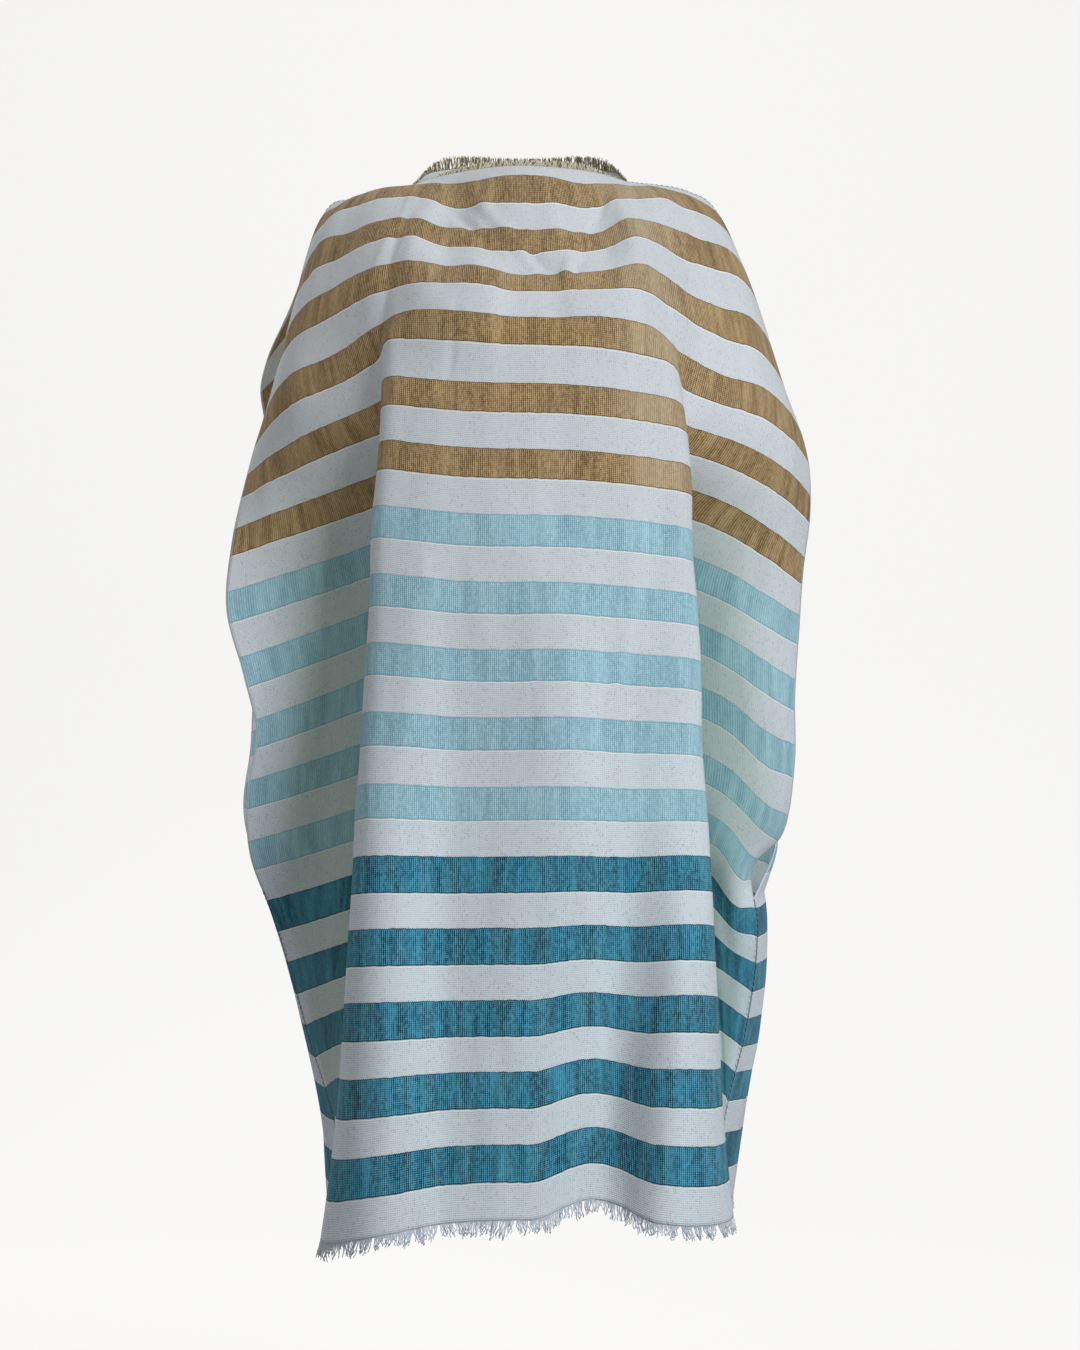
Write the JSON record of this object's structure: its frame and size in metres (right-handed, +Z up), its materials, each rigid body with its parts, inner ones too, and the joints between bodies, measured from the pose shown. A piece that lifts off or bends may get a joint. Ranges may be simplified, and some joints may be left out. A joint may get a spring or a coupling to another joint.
{
  "type": "beach poncho",
  "caption": "Sleeveless hand-woven cotton poncho, striped across, with open armholes and a fringed neck and hem, hung as worn.",
  "frame": {"origin": "midway between the shoulders, level with the shoulder ridge beside the neck, where the wearer holds it up", "axes": "+Z up, the front faces -Y, +X is on the right seen from the front"},
  "size_m": [0.6332, 0.4315, 1.2307],
  "materials": {
    "cloth": "hand-woven cotton, matte, striped across in off-white, tan, light blue and teal",
    "fringe": "loose undyed cotton warp ends, matte"
  },
  "bodies": {
    "root": {"front_panel": "cloth", "back_panel": "cloth", "hem_fringe_front": "fringe", "hem_fringe_back": "fringe", "neck_fringe_front": "fringe", "neck_fringe_back": "fringe"}
  },
  "joints": []
}
